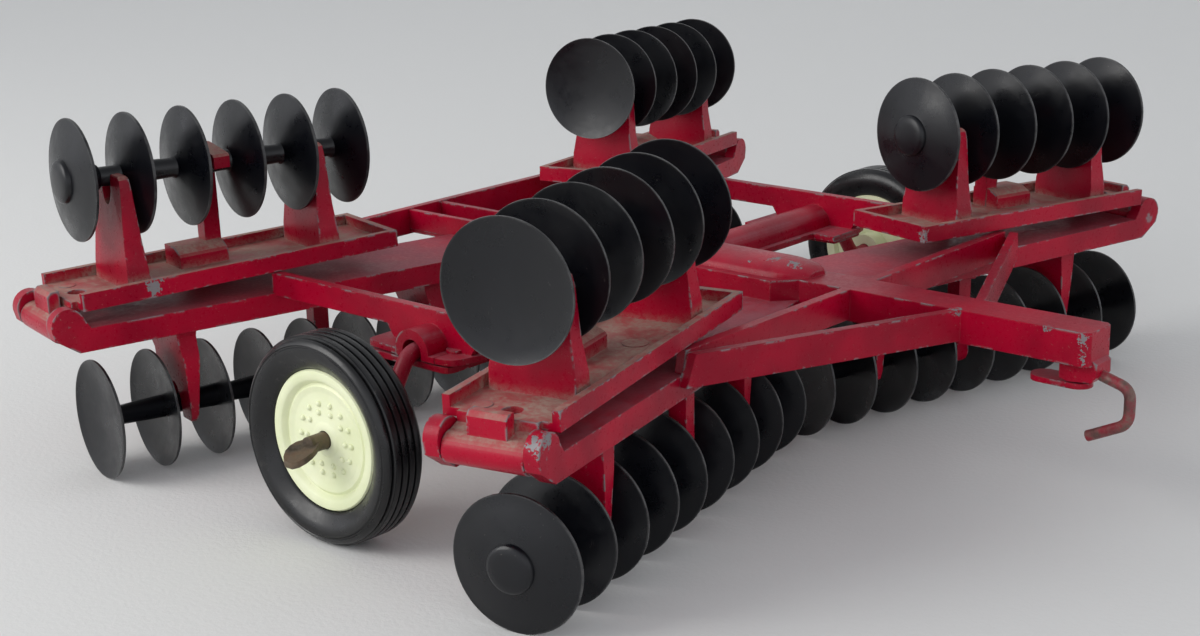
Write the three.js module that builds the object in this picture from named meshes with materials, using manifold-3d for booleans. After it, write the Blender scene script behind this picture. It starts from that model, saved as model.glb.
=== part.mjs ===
import * as THREE from 'three';
import { mergeVertices } from 'three/addons/utils/BufferGeometryUtils.js';
import Module from 'manifold-3d';

// Toy disc harrow, die-cast frame with four folded disc gangs on two wheels.
// Millimetres, +X toward the drawbar, +Y left, +Z up, ground at z = 0.

const wasm = await Module();
wasm.setup();

// sizes that drive everything else
const discRadius = 15;
const discStep = 14.5;
const discDish = 2.5;
const discEdge = 0.35;
const shaftRadius = 2.4;
const collarRadius = 3.2;
const bossRadius = 5.35;
const gangAngle = THREE.MathUtils.degToRad(13);
const foldTilt = THREE.MathUtils.degToRad(1.6);
const seatGap = 0.3;
const pinFit = 0.3;

const mainShaftHeight = discRadius;
const beamHalf = 13;
const beamWall = 1.8;
const plateLow = 39.5;
const plateHigh = plateLow + beamWall;
const flangeLow = 35.6;
const plateEnd = 128.5;
const beamInner = 6.7;

const hingeHeight = 41;
const pinRadius = 1.4;
const barrelRadius = 3.4;
const barrelHalf = 9.2;
const earInner = barrelHalf + seatGap;
const trayHalf = 13.3;
const trayLow = 4.4;
const trayWall = 1.8;
const trayHigh = 8.7;
const trayInner = -90.5;
const trayOuter = -4.4;

const frameTop = 46.4;
const frameLow = 39;
const tongueHalf = 5.5;
const tongueTip = 132;
const boxHalf = 10.7;
const boxRear = -25;
const boxNose = 54;

const rearWallFace = -80.7;
const rearWallBack = -83;

const axleX = 2;
const axleHeight = 38;
const axleWire = 2;
const saddleBase = 37.8;
const saddleInner = axleWire + 1;
const saddleOuter = saddleInner + 2.5;
const saddleEnd = 86;

const wheelX = 2.7;
const tyreRadius = 24.3;
const tyreInner = 5;
const tyreOuter = 6.8;
const wheelCentre = 110.8;
const rimRadius = 16.4;

// drawbar hook wire, and how far it reaches past the tongue
const hookWire = 1.3;
const hookReach = 7.7;

// the two rows of gangs, front and rear
const rows = {
  front: {
    apex: 40,
    sweep: 1,
    hinge: 133.5,
    mainDisc: 126.2,
    mainCount: 9,
    mainDishOut: 1,
    mainShift: 0.9,
    outerHanger: 103.2,
    innerHanger: 32,
    middleHook: 63,
    wingDisc: 124.7,
    wingCount: 6,
    wingDishOut: -1,
    wingShaft: 30,
    wingOuterHanger: 114,
    wingLean: { right: 0, left: 0 },
    wingLift: { right: 0, left: 0 },
  },
  rear: {
    apex: -49,
    sweep: -1,
    hinge: 133,
    mainDisc: 123.5,
    mainCount: 9,
    mainDishOut: -1,
    mainShift: -3.3,
    outerHanger: 102,
    innerHanger: 30.5,
    middleHook: 59,
    wingDisc: 122.4,
    wingCount: 6,
    wingDishOut: 1,
    wingShaft: 32,
    wingOuterHanger: 113,
    wingLean: { right: -2.2, left: 0.8 },
    wingLift: { right: 1.3, left: -1 },
  },
};
const wingInnerHanger = 60.6;
const wingHook = 86.2;
const wingHookShaft = 31.8;

// half thickness of a hanger at its foot, inward and outward, and at its tip
const hangerFoot = [3, 3, 1];
const wingFoot = [3.2, 3, 1.3];

const colours = {
  red: 0x9a1226,
  black: 0x17181a,
  rubber: 0x1c1c1d,
  cream: 0xdfe4b6,
  steel: 0x6d6258,
};
const finish = {
  red: { roughness: 0.5, metalness: 0.1 },
  black: { roughness: 0.55, metalness: 0 },
  rubber: { roughness: 0.8, metalness: 0 },
  cream: { roughness: 0.5, metalness: 0 },
  steel: { roughness: 0.6, metalness: 0.8 },
};

// ---- solids: join, cut and common work on plain geometry ----

function toSolid(geometry) {
  const loose = geometry.index ? geometry.toNonIndexed() : geometry;
  const bare = new THREE.BufferGeometry();
  bare.setAttribute('position', loose.getAttribute('position').clone());
  const merged = mergeVertices(bare, 1e-4);
  const index = merged.index.array;
  const kept = [];
  for (let i = 0; i < index.length; i += 3) {
    const [a, b, c] = [index[i], index[i + 1], index[i + 2]];
    if (a !== b && b !== c && a !== c) kept.push(a, b, c);
  }
  return new wasm.Manifold(new wasm.Mesh({
    numProp: 3,
    vertProperties: new Float32Array(merged.getAttribute('position').array),
    triVerts: new Uint32Array(kept),
  }));
}

function toGeometry(manifold) {
  const mesh = manifold.getMesh();
  const geometry = new THREE.BufferGeometry();
  const places = new THREE.BufferAttribute(new Float32Array(mesh.vertProperties), 3);
  geometry.setAttribute('position', places);
  geometry.setIndex(new THREE.BufferAttribute(new Uint32Array(mesh.triVerts), 1));
  return geometry;
}

function join(...parts) {
  const solids = parts.map(toSolid);
  return toGeometry(solids.reduce((sum, next) => sum.add(next)));
}

function cut(base, ...tools) {
  const solids = tools.map(toSolid);
  return toGeometry(solids.reduce((rest, next) => rest.subtract(next), toSolid(base)));
}

function common(...parts) {
  const solids = parts.map(toSolid);
  return toGeometry(solids.reduce((sum, next) => sum.intersect(next)));
}

// ---- outlines and extrusions ----

function outline(points) {
  return new THREE.Shape(points.map(([a, b]) => new THREE.Vector2(a, b)));
}

function extrude(points, depth) {
  return new THREE.ExtrudeGeometry(outline(points), { depth, bevelEnabled: false });
}

// outline in plan, between two heights
function planSlab(points, low, high) {
  return extrude(points, high - low).translate(0, 0, low);
}

// outline seen from the side (along, height), between two y values
function sidePlate(points, from, to) {
  return extrude(points, to - from).rotateX(Math.PI / 2).translate(0, to, 0);
}

// outline seen end-on (y, height), between two x values
function crossPlate(points, from, to) {
  const turn = new THREE.Matrix4().makeBasis(
    new THREE.Vector3(0, 1, 0),
    new THREE.Vector3(0, 0, 1),
    new THREE.Vector3(1, 0, 0),
  );
  return extrude(points, to - from).applyMatrix4(turn).translate(from, 0, 0);
}

function block(x0, x1, y0, y1, z0, z1) {
  return new THREE.BoxGeometry(x1 - x0, y1 - y0, z1 - z0)
    .translate((x0 + x1) / 2, (y0 + y1) / 2, (z0 + z1) / 2);
}

function arc(cx, cy, radius, from, to, count) {
  const points = [];
  for (let i = 0; i <= count; i += 1) {
    const angle = from + ((to - from) * i) / count;
    points.push([cx + radius * Math.cos(angle), cy + radius * Math.sin(angle)]);
  }
  return points;
}

function ring(cx, cy, radius, count) {
  return arc(cx, cy, radius, 0, 2 * Math.PI, count).slice(0, -1);
}

function mirrorFirst(points) {
  return points.map(([a, b]) => [-a, b]);
}

// straight round wire between two points
function rod(from, to, radius, sides = 12) {
  const start = new THREE.Vector3(...from);
  const end = new THREE.Vector3(...to);
  const along = end.clone().sub(start);
  const turn = new THREE.Quaternion().setFromUnitVectors(
    new THREE.Vector3(0, 1, 0),
    along.clone().normalize(),
  );
  const middle = start.clone().add(end).multiplyScalar(0.5);
  return new THREE.CylinderGeometry(radius, radius, along.length(), sides)
    .applyQuaternion(turn)
    .translate(middle.x, middle.y, middle.z);
}

function ball(at, radius) {
  return new THREE.SphereGeometry(radius, 12, 8).translate(...at);
}

function wire(points, radius) {
  const parts = [];
  for (let i = 0; i + 1 < points.length; i += 1) {
    parts.push(rod(points[i], points[i + 1], radius));
    if (i > 0) parts.push(ball(points[i], radius));
  }
  return join(...parts);
}

// profile of [radius, along] pairs turned about the local x axis
function turned(profile, sides) {
  const points = profile.map(([radius, along]) => new THREE.Vector2(radius, along));
  const lathe = new THREE.LatheGeometry(points, sides).rotateZ(-Math.PI / 2);
  return toGeometry(toSolid(lathe));
}

function piece(name, geometry, tone) {
  const material = new THREE.MeshStandardMaterial({ color: colours[tone], ...finish[tone] });
  const shown = geometry.clone();
  shown.computeVertexNormals();
  const mesh = new THREE.Mesh(shown, material);
  mesh.name = name;
  return mesh;
}

// ---- hangers and hooks that carry a gang shaft ----

// plate across the gang with an open notch; way is +1 above the plate, -1 below
function hanger(along, base, way, shaftHeight, shaftY, tall, foot = hangerFoot) {
  const h = (value) => base + way * value;
  const [inner, outer, tip] = foot;
  const thick = [
    [-inner, -0.8], [-inner, 0], [-tip, tall], [tip, tall], [outer, 0], [outer, -0.8],
  ].map(([t, up]) => [along + t, h(up)]);
  const low = shaftHeight - shaftRadius - 3.1;
  const slot = shaftRadius + 0.35;
  const wide = [
    [-10, -0.8], [-10, 5], [shaftY - 8.5, 10], [shaftY - 8.5, tall - 1],
    [shaftY - 7.5, tall], [shaftY - slot, tall], [shaftY - slot, low + 2],
    [shaftY - slot * 0.65, low + 0.6], [shaftY, low], [shaftY + slot * 0.65, low + 0.6],
    [shaftY + slot, low + 2], [shaftY + slot, tall], [shaftY + 7.5, tall],
    [shaftY + 8.5, tall - 1], [shaftY + 8.5, 10], [10, 5], [10, -0.8],
  ].map(([y, up]) => [y, h(up)]);
  return common(
    sidePlate(thick, -20, 20),
    crossPlate(wide, along - 6, along + 6),
  );
}

// hook that reaches over the shaft from one side
function shaftHook(along, base, way, shaftHeight, shaftY, side) {
  const s = shaftHeight;
  const lip = shaftRadius + 1;
  const top = s + shaftRadius + 0.5;
  const post = shaftRadius + 1.9;
  const profile = [
    [post + 4, -0.8], [post + 4, top - 0.6], [post + 2, top + 1.4], [-lip - 2.2, top],
    [-lip - 2.2, s - 0.6], [-lip, s - 0.6], [-lip, top - 1.7], [-lip + 1.8, top],
    [post - 2.5, top], [post - 0.9, top - 1.5], [post, s - 2], [post, -0.8],
  ].map(([q, up]) => [shaftY + side * q, base + way * up]);
  return crossPlate(profile, along - 2.2, along + 2.2);
}

function beamHookFoot(along, base, shaftY, side) {
  const foot = [
    [-4, -0.8], [-4, 4], [-2.6, 5.5], [2.6, 5.5], [4, 4], [4, -0.8],
  ].map(([t, down]) => [along + t, base - down]);
  const near = shaftY + side * 3.4;
  const far = shaftY + side * 9.2;
  return sidePlate(foot, Math.min(near, far), Math.max(near, far));
}

function wingHookFoot(along, base, side) {
  const foot = [[0, -0.8], [0, 3.4], [3.2, 5], [9, 5], [9, -0.8]]
    .map(([q, up]) => [side * q, base + up]);
  return crossPlate(foot, along - 1.7, along + 11.3);
}

// ---- main beam with hinge ears, hangers and hook ----

function beamInnerEnd(y, side) {
  return (beamInner + side * y * Math.sin(gangAngle)) / Math.cos(gangAngle);
}

function hingeEar(hinge, from, to) {
  const centre = [hinge - 0.3, hingeHeight + 1.6];
  const points = [
    [hinge - 7.5, flangeLow],
    [hinge - 2.5, flangeLow],
    [hinge + 3.5, 39.8],
    ...arc(centre[0], centre[1], 4.2, 0, Math.PI * 0.93, 7),
    [hinge - 6, plateHigh],
    [hinge - 7.5, plateHigh],
  ];
  return sidePlate(points, from, to);
}

function beamCasting(row, side) {
  const plate = planSlab([
    [beamInnerEnd(-beamHalf, side), -beamHalf],
    [plateEnd, -beamHalf],
    [plateEnd, beamHalf],
    [beamInnerEnd(beamHalf, side), beamHalf],
  ], plateLow, plateHigh);
  const parts = [plate];
  const holes = [];
  for (const edge of [-1, 1]) {
    const y0 = Math.min(edge * (beamHalf - beamWall), edge * beamHalf);
    const start = Math.max(beamInnerEnd(y0, side), beamInnerEnd(y0 + beamWall, side));
    parts.push(block(start, row.hinge - 6, y0, y0 + beamWall, flangeLow, plateHigh));
    const e0 = Math.min(edge * earInner, edge * beamHalf);
    parts.push(hingeEar(row.hinge, e0, e0 + beamHalf - earInner));
    const hole = ring(row.hinge, hingeHeight, pinRadius + pinFit, 12);
    const blind = beamHalf - 0.8;
    const h0 = Math.min(edge * (earInner - 0.5), edge * blind);
    holes.push(sidePlate(hole, h0, h0 + blind - earInner + 0.5));
  }
  const down = plateLow - mainShaftHeight;
  const shaftY = side * row.mainShift;
  parts.push(hanger(row.outerHanger, plateLow, -1, down, shaftY, down + 3.5));
  parts.push(hanger(row.innerHanger, plateLow, -1, down, shaftY, down + 3.5));
  parts.push(shaftHook(row.middleHook, plateLow, -1, down, shaftY, side));
  parts.push(beamHookFoot(row.middleHook, plateLow, shaftY, side));
  return cut(join(...parts), ...holes);
}

// ---- folding wing: tray, hinge barrel, hangers and hook, drawn about its hinge ----

function wingCasting(row, hand) {
  const wall = trayHalf - trayWall;
  const outer = block(trayInner, trayOuter, -trayHalf, trayHalf, trayLow, trayHigh);
  const hollow = block(
    trayInner + trayWall, trayOuter + 5, -wall, wall, trayLow + trayWall, trayHigh + 1,
  );
  const drain = planSlab(
    ring(trayOuter - 3.2, -hand * 0.9, 2.15, 12), trayLow - 1, trayLow + trayWall + 1,
  );
  const tray = cut(outer, hollow, drain);
  const bridge = [
    [-5, 4.4], [-3.2, 1], [0, 0], [1.2, 3.1], [-1, 3.5], [-2.9, 4.1], [-3.1, 6.2], [-5, 6.2],
  ];
  const tab = [[-2, 0], [1, 0], [1, 7.2], [0, 8.2], [-2, 8.2]];
  const floor = trayLow + trayWall;
  const up = row.wingShaft - floor;
  return join(
    tray,
    sidePlate(ring(0, 0, barrelRadius, 14), -barrelHalf, barrelHalf),
    sidePlate(ring(0, 0, pinRadius, 10), -beamHalf + 1.1, beamHalf - 1.1),
    sidePlate(bridge, -barrelHalf, barrelHalf),
    sidePlate(tab, -4.5, 4.5),
    hanger(row.wingOuterHanger - row.hinge, floor, 1, up, 0, up + 1.9, wingFoot),
    hanger(wingInnerHanger - row.hinge, floor, 1, up, 0, up + 1.9),
    shaftHook(wingHook - row.hinge, floor, 1, wingHookShaft - floor, 0, hand),
    wingHookFoot(wingHook - row.hinge, floor, hand),
  );
}

// ---- disc gang: one moulding along local x, its boss beside the first disc ----

function discMoulding(count) {
  const last = -(count - 1) * discStep;
  const hollow = discDish - 0.6;
  const crown = discDish + 0.6;
  const profile = [[0, last + hollow]];
  for (let i = count - 1; i >= 0; i -= 1) {
    const at = -i * discStep;
    if (i === 0) {
      profile.push([shaftRadius, at - discEdge - 5.2]);
      profile.push([collarRadius, at - discEdge - 5]);
      profile.push([collarRadius, at - discEdge - 0.9]);
      profile.push([shaftRadius, at - discEdge - 0.7]);
    }
    profile.push([shaftRadius, at + hollow]);
    profile.push([discRadius, at - discEdge]);
    profile.push([discRadius, at + discEdge]);
    if (i > 0) profile.push([shaftRadius, at + crown]);
  }
  const slope = discDish / (discRadius - shaftRadius);
  profile.push([bossRadius, crown - slope * (bossRadius - shaftRadius)]);
  profile.push([bossRadius - 0.3, crown + 0.5]);
  profile.push([bossRadius - 1.4, crown + 1.1]);
  profile.push([0, crown + 1.3]);
  return turned(profile, 16);
}

// the moulding measured from its outer disc; way -1 turns it end for end
function discGang(count, way) {
  if (way > 0) return discMoulding(count);
  return discMoulding(count).rotateZ(Math.PI).translate(-(count - 1) * discStep, 0, 0);
}

// ---- wheels, drawn about the y axis with the outer face at +y ----

function tyre() {
  const seat = rimRadius + seatGap;
  const part = (share) => seat + share * (tyreRadius - seat);
  const profile = [
    [seat, -4.2], [part(0.434), -tyreInner], [part(0.829), -tyreInner + 0.6],
    [tyreRadius, -tyreInner + 2.2], [tyreRadius, tyreOuter - 2.6],
    [part(0.895), tyreOuter - 0.8], [part(0.632), tyreOuter], [part(0.355), tyreOuter - 0.6],
    [part(0.118), tyreOuter - 2], [seat, 4.2], [seat, -4.2],
  ];
  return toGeometry(toSolid(new THREE.LatheGeometry(
    profile.map(([radius, along]) => new THREE.Vector2(radius, along)), 32,
  )));
}

function rim() {
  const bore = axleWire + pinFit;
  const profile = [
    [bore, -8], [5, -8], [5, -2.5], [13.1, -2.5], [13.8, -4], [rimRadius, -4],
    [rimRadius, 4.2], [13.8, 4.2], [13.1, 3], [5.5, 3], [5.5, 5.2], [bore, 5.2],
    [bore, -8],
  ];
  return toGeometry(toSolid(new THREE.LatheGeometry(
    profile.map(([radius, along]) => new THREE.Vector2(radius, along)), 32,
  )));
}

// ---- cranked axle: round wire in the saddle, arms down, spindles, flattened ends ----

function crankAxle() {
  const out = saddleEnd + 1;
  const parts = [rod([axleX, -out, axleHeight], [axleX, out, axleHeight], axleWire)];
  for (const hand of [-1, 1]) {
    const bend = [axleX, hand * out, axleHeight];
    const knee = [wheelX, hand * 96.5, tyreRadius];
    const tip = [wheelX, hand * 118.6, tyreRadius];
    parts.push(ball(bend, axleWire), rod(bend, knee, axleWire), ball(knee, axleWire));
    parts.push(rod(knee, tip, axleWire));
    const spade = [
      [hand * 117.5, tyreRadius - 1.2], [hand * 117.5, tyreRadius + 1.2],
      [hand * 119.8, tyreRadius + 0.5], [hand * 122.6, tyreRadius - 0.2],
      [hand * 125.6, tyreRadius - 1.8], [hand * 125.6, tyreRadius - 3.2],
      [hand * 122, tyreRadius - 1.8], [hand * 119.6, tyreRadius - 1.2],
    ];
    const neck = axleWire + 0.2;
    const shape = [[wheelX - neck, hand * 117], ...arc(wheelX, hand * 122.5, 3.1, Math.PI, 0, 8)
      .map(([x, y]) => [x, hand > 0 ? y : 2 * hand * 122.5 - y]), [wheelX + neck, hand * 117]];
    parts.push(common(
      crossPlate(spade, wheelX - 4, wheelX + 4),
      planSlab(shape, tyreRadius - 6, tyreRadius + 6),
    ));
  }
  return join(...parts);
}

// ---- frame pieces, world coordinates ----

// room left round a main beam for the pieces that sit against it
function beamRoom(row, hand) {
  const reach = beamHalf + seatGap;
  const turn = hand * (row.sweep > 0 ? 77 : 103);
  const plan = [[-10, -reach], [140, -reach], [140, reach], [-10, reach]];
  return planSlab(plan, 30, plateHigh + seatGap)
    .rotateZ(THREE.MathUtils.degToRad(turn))
    .translate(row.apex, 0, 0);
}

// channel open at the bottom, cut from a plan outline
function channel(points, inner, low, high, roof) {
  return cut(planSlab(points, low, high), planSlab(inner, low - 1, high - roof));
}

function tongue() {
  const rear = boxNose + seatGap;
  const tip = tongueTip;
  const half = tongueHalf;
  const skin = 1.6;
  const shell = channel(
    [[rear, -half], [tip - 1.5, -half], [tip, -half + 1.5], [tip, half - 1.5],
      [tip - 1.5, half], [rear, half]],
    [[rear - 1, -half + skin], [tip - 10, -half + skin], [tip - 10, half - skin],
      [rear - 1, half - skin]],
    38.5, frameTop, 1.8,
  );
  const heel = [[tip - 8, 40], [tip - 8, 34.6], [tip - 6, 34], [tip, 34.6], [tip + 1, 36],
    [tip + 1, 39], [tip - 0.5, 40]];
  return join(shell, sidePlate(heel, -3.5, 3.5));
}

function hitchTab() {
  const plan = [
    ...arc(tongueTip - 5, 0, 3.4, -Math.PI / 2, Math.PI / 2, 8),
    ...arc(tongueTip - 13, 0, 3.4, Math.PI / 2, Math.PI * 1.5, 8),
  ];
  return planSlab(plan, 32.4, 33.7);
}

function drawbarHook() {
  const near = tongueTip + 1 + seatGap;
  const far = tongueTip + hookReach;
  return wire([[near, 0, 35.7], [far, 0, 33.8], [far, 0, 25.7], [far - 9.8, 0, 20.8]], hookWire);
}

function saddleRoom() {
  const points = [...arc(axleX, saddleBase, saddleOuter + seatGap, 0, Math.PI, 12),
    [axleX - saddleOuter - seatGap, 30], [axleX + saddleOuter + seatGap, 30]];
  return sidePlate(points, -100, 100);
}

function centreBox() {
  const nose = boxNose;
  const low = plateHigh + seatGap;
  const shell = channel(
    [[boxRear, -boxHalf], [49.7, -boxHalf], [nose, -tongueHalf], [nose, tongueHalf],
      [49.7, boxHalf], [boxRear, boxHalf]],
    [[boxRear + 1.8, -boxHalf + 1.8], [48.8, -boxHalf + 1.8], [nose + 1, -tongueHalf + 1.8],
      [nose + 1, tongueHalf - 1.8], [48.8, boxHalf - 1.8], [boxRear + 1.8, boxHalf - 1.8]],
    low, frameTop, 1.8,
  );
  const swell = [[-8, frameTop - 1], [8, frameTop - 1], [8, frameTop + 0.8], [6, frameTop + 2],
    [3, frameTop + 2.9], [0, frameTop + 3.2], [-3, frameTop + 2.9], [-6, frameTop + 2],
    [-8, frameTop + 0.8]];
  const rise = [[14, frameTop - 1], [14, frameTop + 0.6], [19, frameTop + 3.2], [47, frameTop + 3.2],
    [52, frameTop + 2], [nose, frameTop + 0.9], [nose, frameTop - 1]];
  const plan = [[10, -8], [46, -8], [50.5, -6.5], [nose, -3.6], [nose, 3.6], [50.5, 6.5],
    [46, 8], [10, 8]];
  const ridge = common(
    crossPlate(swell, 10, nose + 1),
    sidePlate(rise, -10, 10),
    planSlab(plan, 40, 60),
  );
  return cut(join(shell, ridge), saddleRoom());
}

function rearSpine() {
  const low = plateHigh + seatGap;
  const hip = beamInner - seatGap;
  const half = [[hip, plateLow], [hip, low], [7.3, low], [7.3, 46.1], [5.5, 46.1], [5.5, plateHigh]];
  const section = [...half, ...mirrorFirst(half).reverse()];
  return crossPlate(section, rearWallFace + seatGap, boxRear - seatGap);
}

function rearWall() {
  const half = [[88, frameLow], [88, 43.6], [84, frameTop]];
  const wall = crossPlate([...half, ...mirrorFirst(half).reverse()], rearWallBack, rearWallFace);
  return cut(wall, beamRoom(rows.rear, -1), beamRoom(rows.rear, 1));
}

function frontWall(hand) {
  const near = tongueHalf + seatGap;
  const points = [
    [near, frameLow], [69.8, frameLow], [68.4, frameTop], [near, frameTop],
  ];
  const face = hand > 0 ? points : mirrorFirst(points);
  return cut(crossPlate(face, 67, 69.5), beamRoom(rows.front, hand));
}

function frontBrace(hand) {
  const near = tongueHalf + seatGap;
  const lean = 27 / 64;
  const far = 74;
  const xAt = (y) => 98.5 - (y - 5.5) * lean;
  const plan = [[xAt(near) - 1.3, hand * near], [xAt(near) + 1.3, hand * near],
    [xAt(far) + 1.3, hand * far], [xAt(far) - 1.3, hand * far]];
  const end = [[near, frameLow], [71.5, frameLow], [69.3, frameTop], [near, frameTop]];
  const face = hand > 0 ? end : mirrorFirst(end);
  const plate = common(planSlab(plan, 30, 60), crossPlate(face, 50, 110));
  return cut(plate, beamRoom(rows.front, hand));
}

function sideBar(hand) {
  const top = 46.6;
  const points = [
    [-55, 41], [-55, top], [46, top], [46, 41], [17, 41], [14.5, 38], [-10.5, 38], [-13, 41],
  ];
  const [from, to] = hand > 0 ? [77, 79.5] : [-79.5, -77];
  return cut(
    sidePlate(points, from, to),
    saddleRoom(),
    beamRoom(rows.front, hand),
    beamRoom(rows.rear, hand),
  );
}

function axleSaddle() {
  const base = 36.2;
  const section = [
    [axleX - saddleOuter, base],
    ...arc(axleX, saddleBase, saddleOuter, Math.PI, 0, 12),
    [9.3, saddleBase],
    [9.3, base],
    [axleX + saddleInner, base],
    ...arc(axleX, saddleBase, saddleInner, 0, Math.PI, 8),
    [axleX - saddleInner, base],
  ];
  const parts = [sidePlate(section, -saddleEnd, saddleEnd)];
  const slot = block(axleX - saddleInner, axleX + saddleInner, -90, 90, base - 1, saddleBase);
  for (const hand of [-1, 1]) {
    const plan = [[-15, 66], [-15, 82.8], [-13.6, 84.6], [-4.6, 85.4], [7.8, 86], [12.8, 85.5],
      [15, 83.4], [16.4, 78.4], [16.4, 66]];
    const pad = planSlab(plan.map(([x, y]) => [x, hand * y]), base, saddleBase - 0.1);
    parts.push(cut(pad, slot));
  }
  return join(...parts);
}

function axleRetainer(hand) {
  const plan = [[-13.3, 71], [-13.3, 84], [-11.8, 85.5], [11.5, 85.5], [13.2, 83.8], [13.2, 71]];
  const top = axleHeight - axleWire - seatGap;
  return planSlab(plan.map(([x, y]) => [x, hand * y]), top - 1.5, top);
}

// ---- assembly ----

const harrow = new THREE.Group();
harrow.name = 'toy_disc_harrow';

harrow.add(piece('tongue', tongue(), 'red'));
harrow.add(piece('hitch_tab', hitchTab(), 'red'));
harrow.add(piece('drawbar_hook', drawbarHook(), 'steel'));
harrow.add(piece('centre_box', centreBox(), 'red'));
harrow.add(piece('rear_spine', rearSpine(), 'red'));
harrow.add(piece('rear_cross_wall', rearWall(), 'red'));
harrow.add(piece('axle_saddle', axleSaddle(), 'red'));
harrow.add(piece('crank_axle', crankAxle(), 'steel'));

for (const [word, hand] of [['right', -1], ['left', 1]]) {
  harrow.add(piece(`front_cross_wall_${word}`, frontWall(hand), 'red'));
  harrow.add(piece(`front_brace_${word}`, frontBrace(hand), 'red'));
  harrow.add(piece(`side_bar_${word}`, sideBar(hand), 'red'));
  harrow.add(piece(`axle_retainer_${word}`, axleRetainer(hand), 'red'));

  const wheel = new THREE.Group();
  wheel.position.set(wheelX, hand * wheelCentre, tyreRadius);
  wheel.rotation.z = hand > 0 ? 0 : Math.PI;
  wheel.add(piece(`tyre_${word}`, tyre(), 'rubber'));
  wheel.add(piece(`rim_${word}`, rim(), 'cream'));
  harrow.add(wheel);

  for (const [place, row] of Object.entries(rows)) {
    const side = hand * -row.sweep;
    const line = new THREE.Group();
    line.position.set(row.apex, 0, 0);
    line.rotation.z = THREE.MathUtils.degToRad(hand * (row.sweep > 0 ? 77 : 103));
    line.add(piece(`${place}_beam_${word}`, beamCasting(row, side), 'red'));

    const gang = discGang(row.mainCount, row.mainDishOut);
    const main = piece(`${place}_main_gang_${word}`, gang, 'black');
    main.position.set(row.mainDisc, side * row.mainShift, mainShaftHeight);
    line.add(main);

    const wing = new THREE.Group();
    wing.position.set(row.hinge, 0, hingeHeight);
    wing.rotation.y = foldTilt;
    wing.add(piece(`${place}_wing_${word}`, wingCasting(row, hand), 'red'));
    const upper = discGang(row.wingCount, row.wingDishOut);
    const wingGang = piece(`${place}_wing_gang_${word}`, upper, 'black');
    const lie = row.wingShaft + row.wingLift[word];
    wingGang.position.set(row.wingDisc - row.hinge, 0, lie);
    wingGang.rotation.y = THREE.MathUtils.degToRad(row.wingLean[word]);
    wing.add(wingGang);
    line.add(wing);
    harrow.add(line);
  }
}

// the origin lies on the ground under the middle of the whole machine
const whole = new THREE.Box3().setFromObject(harrow, true);
harrow.position.x = -Math.round(50 * (whole.min.x + whole.max.x)) / 100;

export default harrow;
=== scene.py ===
import bpy
import bmesh
import math
from mathutils import Matrix, Vector


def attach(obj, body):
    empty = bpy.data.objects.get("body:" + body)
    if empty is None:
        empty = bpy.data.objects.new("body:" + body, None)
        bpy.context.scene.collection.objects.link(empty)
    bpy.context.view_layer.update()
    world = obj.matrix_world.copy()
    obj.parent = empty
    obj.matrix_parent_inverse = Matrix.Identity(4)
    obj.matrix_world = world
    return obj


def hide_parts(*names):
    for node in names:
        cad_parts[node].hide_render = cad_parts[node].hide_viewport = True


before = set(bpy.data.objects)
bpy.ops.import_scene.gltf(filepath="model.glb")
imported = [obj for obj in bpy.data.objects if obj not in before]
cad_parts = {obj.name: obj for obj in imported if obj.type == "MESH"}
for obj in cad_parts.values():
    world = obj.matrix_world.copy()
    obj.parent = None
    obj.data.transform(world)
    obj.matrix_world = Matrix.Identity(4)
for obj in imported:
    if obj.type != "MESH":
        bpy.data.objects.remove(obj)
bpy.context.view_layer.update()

mm = 0.001
middleX = 24.27  # ground point under the middle of the machine, along x
tilt = math.radians(1.6)

# the two rows of gangs; along is measured out from the row's apex
rowSizes = {
    "front": dict(apex=40, turn=77, sweep=1, hinge=133.5, mainDisc=126.2, mainWay=1, mainShift=0.9,
                  outerHanger=103.2, innerHanger=32, hook=63, wingDisc=124.7, wingWay=-1, wingShaft=30,
                  wingHanger=114, lean=dict(right=0, left=0), lift=dict(right=0, left=0)),
    "rear": dict(apex=-49, turn=103, sweep=-1, hinge=133, mainDisc=123.5, mainWay=-1, mainShift=-3.3,
                 outerHanger=102, innerHanger=30.5, hook=59, wingDisc=122.4, wingWay=1, wingShaft=32,
                 wingHanger=113, lean=dict(right=-2.2, left=0.8), lift=dict(right=1.3, left=-1)),
}


# mesh tools; outlines are in millimetres

def meshFrom(bm, name):
    mesh = bpy.data.meshes.new(name)
    bm.to_mesh(mesh)
    bm.free()
    return mesh


def softenEdges(bm, width, rings=2, sharpest=33):
    limit = math.radians(sharpest)
    edges = [e for e in bm.edges if len(e.link_faces) == 2 and e.calc_face_angle(0) > limit]
    if width > 0 and edges:
        bmesh.ops.bevel(bm, geom=edges, offset=width, offset_type="OFFSET", segments=rings,
                        profile=0.5, affect="EDGES", clamp_overlap=False)


def extruded(outline, low, high, place, edge):
    # outline in two axes, pushed along the third, then put in place
    area = sum(a[0] * b[1] - b[0] * a[1] for a, b in zip(outline, outline[1:] + outline[:1]))
    points = outline if area > 0 else outline[::-1]
    bm = bmesh.new()
    bottom = [bm.verts.new((x, y, low)) for x, y in points]
    top = [bm.verts.new((x, y, high)) for x, y in points]
    bm.faces.new(bottom[::-1])
    bm.faces.new(top)
    for i in range(len(points)):
        j = (i + 1) % len(points)
        bm.faces.new((bottom[i], bottom[j], top[j], top[i]))
    softenEdges(bm, edge)
    bmesh.ops.transform(bm, matrix=place, verts=bm.verts)
    bmesh.ops.recalc_face_normals(bm, faces=bm.faces)
    return meshFrom(bm, "part")


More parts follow.
